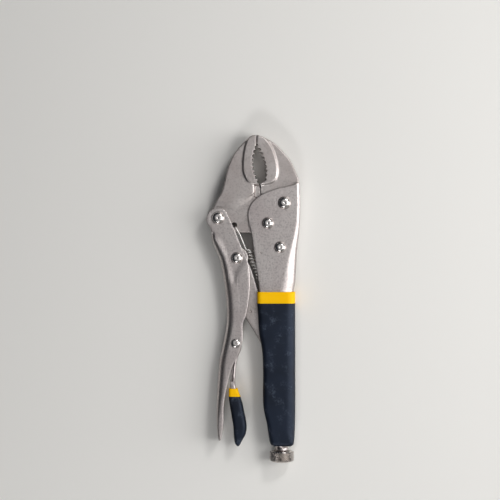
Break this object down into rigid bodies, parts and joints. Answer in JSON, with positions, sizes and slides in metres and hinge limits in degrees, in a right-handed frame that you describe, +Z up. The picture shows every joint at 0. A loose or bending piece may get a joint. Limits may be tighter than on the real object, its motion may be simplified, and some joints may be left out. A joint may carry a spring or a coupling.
{
  "type": "locking pliers",
  "caption": "Locking pliers with curved toothed jaws and wire cutter, toggle linkage, return spring, release lever, knurled adjusting screw and dipped grips.",
  "frame": {"origin": "middle of the footprint of the closed tool, on the surface it lies on", "axes": "+Y along the tool to the jaw tips, +X from the lever towards the fixed handle, +Z up out of the surface, along every pivot"},
  "size_m": [0.0718, 0.25, 0.0192],
  "materials": {
    "plated_sheet": "pressed steel sheet, satin nickel plate",
    "forged_jaw": "forged steel, satin nickel plate",
    "rivet": "cold-headed steel, polished and plated",
    "spring_wire": "drawn spring wire, bright",
    "screw": "turned steel, satin nickel plate",
    "black_vinyl": "dipped soft vinyl, slight gloss",
    "yellow_vinyl": "dipped soft vinyl, slight gloss"
  },
  "bodies": {
    "body": {"body_shell": "plated_sheet", "fixed_jaw": "forged_jaw", "fixed_jaw_rivet_upper": "rivet", "fixed_jaw_rivet_lower": "rivet", "jaw_pivot_rivet": "rivet", "spring_anchor_pin": "spring_wire", "handle_grip": "black_vinyl", "handle_grip_collar": "yellow_vinyl"},
    "jaw": {"moving_jaw": "forged_jaw"},
    "lever": {"lever_handle": "plated_sheet", "lever_pivot_rivet": "rivet", "link_pivot_rivet": "rivet", "release_pivot_rivet": "rivet"},
    "link": {"toggle_link": "forged_jaw"},
    "release": {"release_lever": "plated_sheet", "release_grip": "black_vinyl", "release_grip_collar": "yellow_vinyl"},
    "spring": {"return_spring": "spring_wire"},
    "screw": {"adjusting_screw": "screw"},
    "knob": {"knurled_knob": "screw"}
  },
  "joints": [
    {"name": "jaw_pivot", "type": "hinge", "parent": "body", "child": "jaw", "pos_m": [0.0111, 0.0577, 0.0096], "axis": [0, 0, 1], "range_deg": [0, 20], "deforming": ["return_spring"]},
    {"name": "lever_pivot", "type": "hinge", "parent": "jaw", "child": "lever", "pos_m": [-0.0269, 0.0617, 0.0096], "axis": [0, 0, 1], "range_deg": [-64, 0]},
    {"name": "link_pivot", "type": "hinge", "parent": "lever", "child": "link", "pos_m": [-0.0125, 0.0311, 0.0096], "axis": [0, 0, 1], "range_deg": [0, 62]},
    {"name": "spring_swing", "type": "hinge", "parent": "jaw", "child": "spring", "pos_m": [-0.0145, 0.0562, 0.0096], "axis": [0, 0, 1], "range_deg": [-18.5, 0]},
    {"name": "release_pivot", "type": "hinge", "parent": "lever", "child": "release", "pos_m": [-0.0136, -0.034, 0.0096], "axis": [0, 0, 1], "range_deg": [-5, 0]},
    {"name": "screw_advance", "type": "slide", "parent": "body", "child": "screw", "axis": [0, 1, 0], "range_m": [-0.018, 0]},
    {"name": "knob_turn", "type": "hinge", "parent": "screw", "child": "knob", "pos_m": [0.0219, -0.12, 0.0096], "axis": [0, 1, 0], "range_deg": [-4320, 0]}
  ],
  "couplings": [
    {"joint": "lever_pivot", "follows": "jaw_pivot", "ratio": -3.1804},
    {"joint": "link_pivot", "follows": "jaw_pivot", "ratio": 3.0807},
    {"joint": "spring_swing", "follows": "jaw_pivot", "ratio": -0.9125},
    {"joint": "screw_advance", "follows": "knob_turn", "m_per_rad": 0.00023873}
  ]
}
